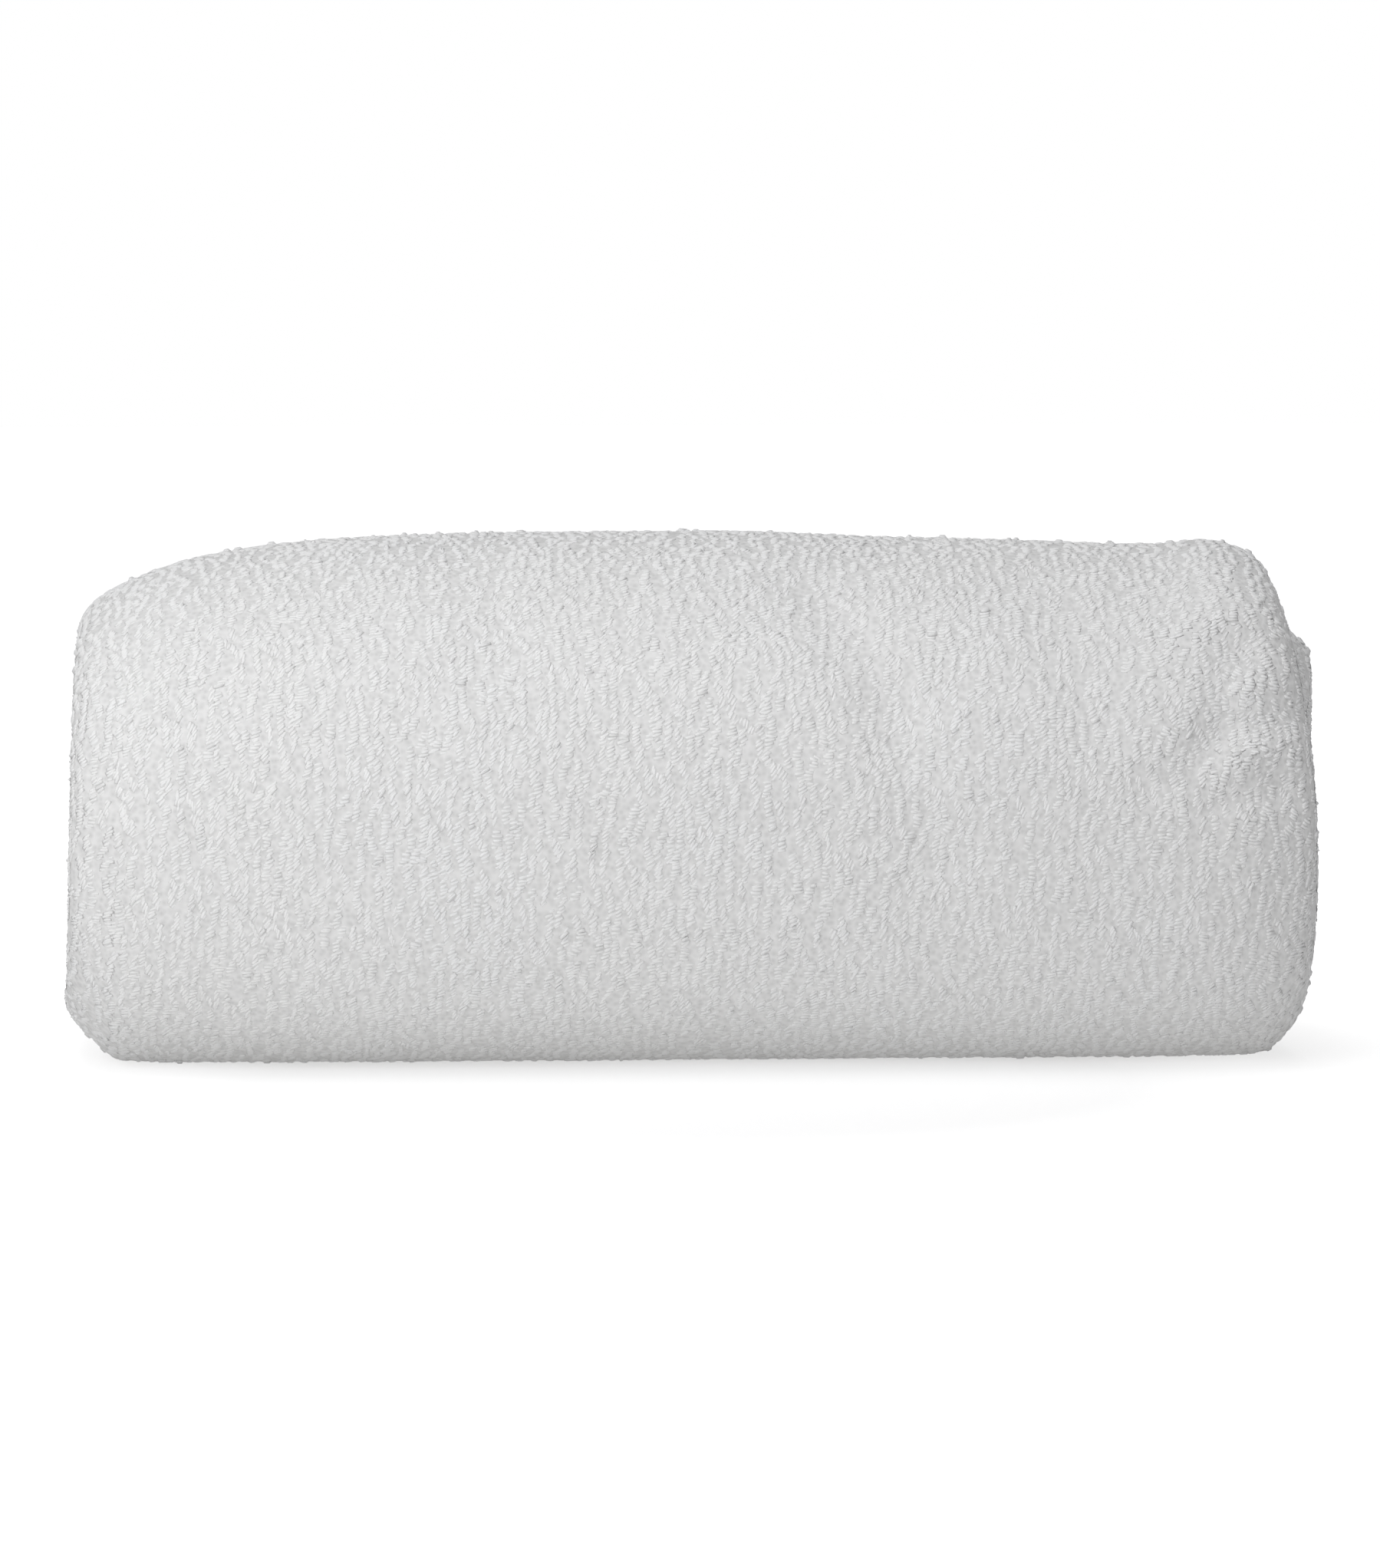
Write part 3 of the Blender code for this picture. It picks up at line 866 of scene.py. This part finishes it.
# one row along the hem of the loose end, each stitch a pillow that lies across the towel
def makeStitches(material):
    halfSpan = stitches["span"] / 2.0
    reach = np.arange(-halfSpan, halfSpan, stitches["pitch"])[:, None]
    turn, across = placeOf(np.full(reach.shape, stitches["inset"]), reach)[:2]
    axis, flank, outward = tuftFrame(turn[:, 0], across[:, 0], np.zeros(len(reach)))[1:]
    halfLength = np.full(reach.shape, stitches["length"] / 2.0)
    halfWidth = np.full(reach.shape, stitches["width"] / 2.0)
    top = np.full(reach.shape, stitches["rise"])
    pillows = pillowPoints(
        facePoint(turn, across), flank[:, None, :], -axis[:, None, :], outward[:, None, :],
        halfLength, halfWidth, pile["foot"], top,
    )
    return pilePiece("hem_stitches", material, pillows, np.ones(reach.shape))


towelCloth = makeCloth()
print("cloth made")
pilePieces = makePile(loopPaint()) + [makeStitches(threadPaint())]
print("pile and stitches made")

for piece in [towelCloth] + pilePieces:
    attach(piece, "root")
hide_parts("towel_roll")

studio = {
    "white": (1.0, 1.0, 1.0, 1.0),
    "floorSize": 8.0,
    "floorColor": (0.66, 0.66, 0.66, 1.0),
    "floorGlow": 0.80,
    "floorShadowGlow": (0.58, 0.58, 0.58, 1.0),     # share of the glow that the camera sees by the roll; the dimmer glow there lets the real shadow show and adds a painted shadow
    "floorFill": (0.27, 0.268, 0.266, 1.0),   # and the share that lights the towel
    "nearMiddle": (0.0, -0.08, 0.0),
    "nearReach": 0.12,
    "farReach": 0.25,
    "domeLight": 0.19,
    "domeLean": (-0.15, -0.29, 0.29),         # brighter to the left, in front and overhead
    "domeColor": (0.988, 0.987, 1.0, 1.0),
    "keyPlace": (-0.34, -0.56, 0.30),
    "keySize": 0.45,
    "keyPower": 1.04,
    "overheadPlace": (-0.1, -0.30, 1.6),
    "overheadSize": 1.2,
    "overheadPower": 6.9,
    "lampTarget": (0.0, 0.0, 0.07),
}

view = {
    "azimuth": math.radians(-3.0),
    "elevation": math.radians(5.0),
    "distance": 2.4,
    "target": (0.0023, 0.0, 0.0757),
    "lens": 192.3,
    "sensor": 36.0,
    "clipStart": 0.05,
    "clipEnd": 30.0,
}


# one square face that glows: in full to the camera far from the roll, less beside it by the distance
# from its middle, which paints a soft shadow round the roll, and by the fill's share to everything
# else
def makeFloor():
    half = studio["floorSize"] / 2.0
    points = np.array([(-half, -half, 0.0), (half, -half, 0.0), (half, half, 0.0), (-half, half, 0.0)])
    paint = Paint(bpy.data.materials.new("paleFloor"))
    camera = paint.node("ShaderNodeLightPath", {}, {}, "Is Camera Ray")
    away = paint.vector("DISTANCE", paint.place(), studio["nearMiddle"], "Value")
    span = studio["farReach"] - studio["nearReach"]
    share = ((away - studio["nearReach"]) * (1.0 / span)).clipped()
    seen = paint.mixed(share, studio["floorShadowGlow"], studio["white"])
    material = paint.finish(
        Base_Color=studio["floorColor"],
        Roughness=0.9,
        Emission_Color=paint.mixed(camera, studio["floorFill"], seen),
        Emission_Strength=studio["floorGlow"],
    )
    return meshPiece("floor", points, np.arange(4), np.array([4]), material)


# light from all round: even part + lean . direction, never below none; plain white to the camera
def makeDome():
    world = bpy.data.worlds.new("studio")
    bpy.context.scene.world = world
    paint = Paint(world)
    toward = paint.node("ShaderNodeTexCoord", {}, {}, "Generated")
    leaning = paint.vector("DOT_PRODUCT", toward, studio["domeLean"], "Value")
    strength = (leaning + studio["domeLight"]).math("MAXIMUM", 0.0)
    lit = paint.node("ShaderNodeBackground", {}, {"Color": studio["domeColor"], "Strength": strength})
    seen = paint.node("ShaderNodeBackground", {}, {"Color": studio["white"], "Strength": 1.0})
    camera = paint.node("ShaderNodeLightPath", {}, {}, "Is Camera Ray")
    mixed = paint.node("ShaderNodeMixShader", {}, {0: camera, 1: lit, 2: seen})
    paint.put(paint.tree.nodes["World Output"].inputs["Surface"], mixed)


# a square soft box turned to the middle of the roll
def makeLamp(name):
    lamp = bpy.data.lights.new(name, "AREA")
    lamp.shape = "SQUARE"
    lamp.size = studio[name + "Size"]
    lamp.energy = studio[name + "Power"]
    box = bpy.data.objects.new(name, lamp)
    box.location = studio[name + "Place"]
    aim = Vector(studio["lampTarget"]) - box.location
    box.rotation_euler = aim.to_track_quat("-Z", "Y").to_euler()
    bpy.context.scene.collection.objects.link(box)


# target + distance * (sin a cos e, -cos a cos e, sin e), looking back along it
def makeCamera():
    lens = bpy.data.cameras.new("camera")
    lens.lens = view["lens"]
    lens.sensor_width = view["sensor"]
    lens.clip_start = view["clipStart"]
    lens.clip_end = view["clipEnd"]
    camera = bpy.data.objects.new("camera", lens)
    turned, raised = view["azimuth"], view["elevation"]
    back = Vector((
        math.sin(turned) * math.cos(raised),
        -math.cos(turned) * math.cos(raised),
        math.sin(raised),
    ))
    camera.location = Vector(view["target"]) + back * view["distance"]
    camera.rotation_euler = (-back).to_track_quat("-Z", "Y").to_euler()
    bpy.context.scene.collection.objects.link(camera)
    bpy.context.scene.camera = camera


floor = makeFloor()
makeDome()
makeLamp("key")
makeLamp("overhead")
makeCamera()
bpy.context.scene.view_settings.view_transform = "Standard"
print("studio made")
